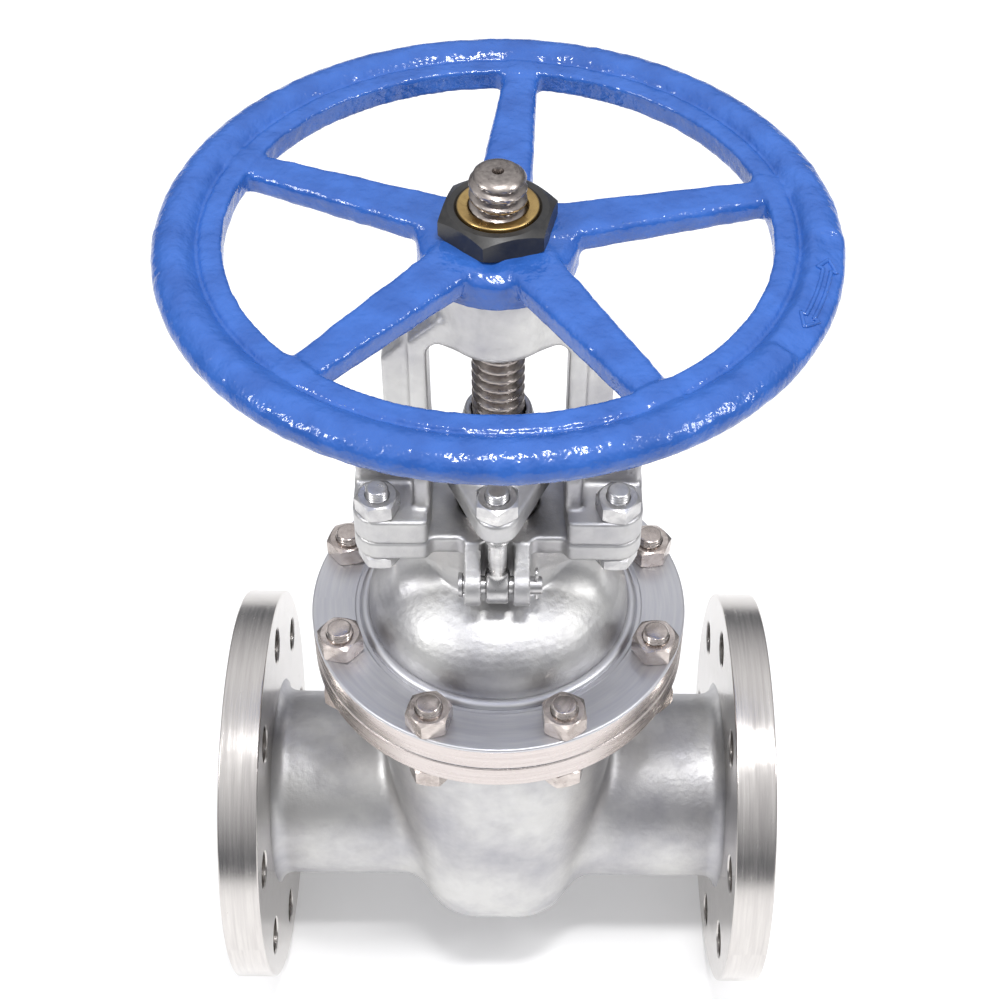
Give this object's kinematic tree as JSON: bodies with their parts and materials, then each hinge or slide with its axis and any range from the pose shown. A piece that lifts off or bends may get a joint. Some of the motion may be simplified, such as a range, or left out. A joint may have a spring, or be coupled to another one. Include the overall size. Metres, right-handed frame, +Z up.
{
  "type": "gate valve",
  "caption": "Flanged rising-stem gate valve with bolted bonnet, outside yoke and five-spoke handwheel; the wheel lifts a wedge out of the pipe bore.",
  "frame": {"origin": "on the floor under the stem, midway between the two end flanges, at the lowest point of their rims", "axes": "+X along the pipe, +Y to the rear eyebolt, +Z up the stem; the pipe's axis is 100 mm above the origin"},
  "size_m": [0.27, 0.2624, 0.4899],
  "materials": {
    "cast_stainless": "satin bead-blasted casting",
    "machined_stainless": "turned and ground",
    "bright_fasteners": "bright, lightly brushed",
    "graphite": "dull graphite",
    "brass": "turned brass",
    "blackened_steel": "black oxide, semi-gloss",
    "blue_enamel": "thick glossy enamel over a cast surface"
  },
  "bodies": {
    "valve_body": {"backseat_bush": "machined_stainless", "body": "cast_stainless", "bonnet": "cast_stainless", "bonnet_gasket": "graphite", "bonnet_nuts_lower": "bright_fasteners", "bonnet_nuts_upper": "bright_fasteners", "bonnet_studs": "bright_fasteners", "cotter_front": "bright_fasteners", "cotter_rear": "bright_fasteners", "eyebolt_front": "bright_fasteners", "eyebolt_nut_front": "bright_fasteners", "eyebolt_nut_rear": "bright_fasteners", "eyebolt_pin_front": "bright_fasteners", "eyebolt_pin_rear": "bright_fasteners", "eyebolt_rear": "bright_fasteners", "gland": "machined_stainless", "gland_flange": "cast_stainless", "packing_ring_1": "graphite", "packing_ring_2": "graphite", "packing_ring_3": "graphite", "packing_ring_4": "graphite", "packing_washer": "machined_stainless", "seat_ring_left": "machined_stainless", "seat_ring_right": "machined_stainless", "thrust_washer_lower": "machined_stainless", "thrust_washer_upper": "machined_stainless", "yoke": "cast_stainless", "yoke_bolts": "bright_fasteners", "yoke_nut_retainer": "blackened_steel", "yoke_nuts": "bright_fasteners"},
    "wheel": {"handwheel": "blue_enamel", "handwheel_key": "machined_stainless", "handwheel_nut": "blackened_steel", "stem_nut": "brass"},
    "rising_stem": {"stem": "machined_stainless", "wedge": "machined_stainless"}
  },
  "joints": [
    {"name": "wheel_turn", "type": "hinge", "parent": "valve_body", "child": "wheel", "pos_m": [0, 0, 0.43], "axis": [0, 0, 1], "range_deg": [0, 6120]},
    {"name": "stem_rise", "type": "slide", "parent": "valve_body", "child": "rising_stem", "axis": [0, 0, 1], "range_m": [0, 0.085]}
  ],
  "couplings": [
    {"joint": "stem_rise", "follows": "wheel_turn", "m_per_rad": 0.00079577}
  ]
}
